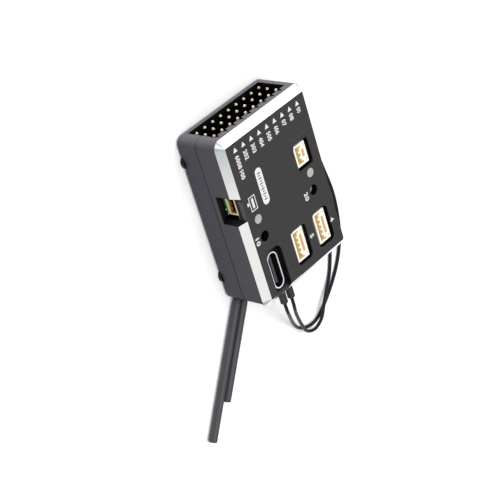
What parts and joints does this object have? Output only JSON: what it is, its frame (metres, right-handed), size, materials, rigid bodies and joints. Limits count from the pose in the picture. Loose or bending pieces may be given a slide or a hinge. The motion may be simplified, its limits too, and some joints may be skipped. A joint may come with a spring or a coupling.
{
  "type": "helicopter flight controller",
  "caption": "Small rectangular flight controller for a model helicopter: metal case in two shells, servo pin header, plug sockets, data port, push buttons and two aerial leads.",
  "frame": {"origin": "centre of the back face, which lies on the floor", "axes": "+Z out of the label face, +Y along the case to the servo header, +X to the right seen from the label side"},
  "size_m": [0.0574, 0.0679, 0.013],
  "materials": {
    "anodised_case": "fine matt black anodised, bright cut edge",
    "black_steel": "blackened",
    "header_plastic": "matt",
    "gold_plate": "bright gold plated",
    "green_board": "solder mask",
    "cream_nylon": "satin",
    "bright_steel": "bright drawn",
    "tinned_steel": "dull",
    "frosted_window": "frosted",
    "light_chip": "satin",
    "grey_plastic": "satin",
    "boot_rubber": "matt",
    "lead_jacket": "smooth",
    "sleeve_plastic": "satin",
    "capacitor_ceramic": "matt",
    "black_plastic": "matt"
  },
  "bodies": {
    "case": {"aerial_boot_1": "boot_rubber", "aerial_boot_2": "boot_rubber", "aerial_core_1": "lead_jacket", "aerial_core_2": "lead_jacket", "aerial_lead_1": "lead_jacket", "aerial_lead_2": "lead_jacket", "aerial_plug_1": "gold_plate", "aerial_plug_2": "gold_plate", "aerial_sleeve_1": "sleeve_plastic", "aerial_sleeve_2": "sleeve_plastic", "button_frame_left": "black_plastic", "button_frame_right": "black_plastic", "capacitors": "capacitor_ceramic", "case_screws": "black_steel", "clock_crystal": "black_plastic", "data_port_shell": "bright_steel", "data_port_terminals": "gold_plate", "data_port_tongue": "black_plastic", "gyro_chip": "black_plastic", "header_block": "header_plastic", "header_board": "green_board", "header_pins": "gold_plate", "light_chip_left": "light_chip", "light_chip_right": "light_chip", "light_window_left": "frosted_window", "light_window_right": "frosted_window", "main_board": "green_board", "mcu_chip": "black_plastic", "memory_chip": "black_plastic", "port_five_way_inner": "cream_nylon", "port_five_way_inner_contacts": "gold_plate", "port_five_way_outer": "cream_nylon", "port_five_way_outer_contacts": "gold_plate", "port_three_way": "cream_nylon", "port_three_way_contacts": "gold_plate", "power_coil": "black_plastic", "rear_shell": "anodised_case", "receiver_can": "tinned_steel", "regulator_chip": "black_plastic", "side_port": "cream_nylon", "side_port_contacts": "gold_plate", "stack_plug": "black_plastic", "stack_socket": "black_plastic", "top_shell": "anodised_case", "upper_board": "green_board"},
    "left_button": {"button_plunger_left": "grey_plastic"},
    "right_button": {"button_plunger_right": "grey_plastic"}
  },
  "joints": [
    {"name": "left_press", "type": "slide", "parent": "case", "child": "left_button", "axis": [0, 0, -1], "range_m": [0, 0.00025], "stiffness_N_per_m": 1000},
    {"name": "right_press", "type": "slide", "parent": "case", "child": "right_button", "axis": [0, 0, -1], "range_m": [0, 0.00025], "stiffness_N_per_m": 1000}
  ]
}
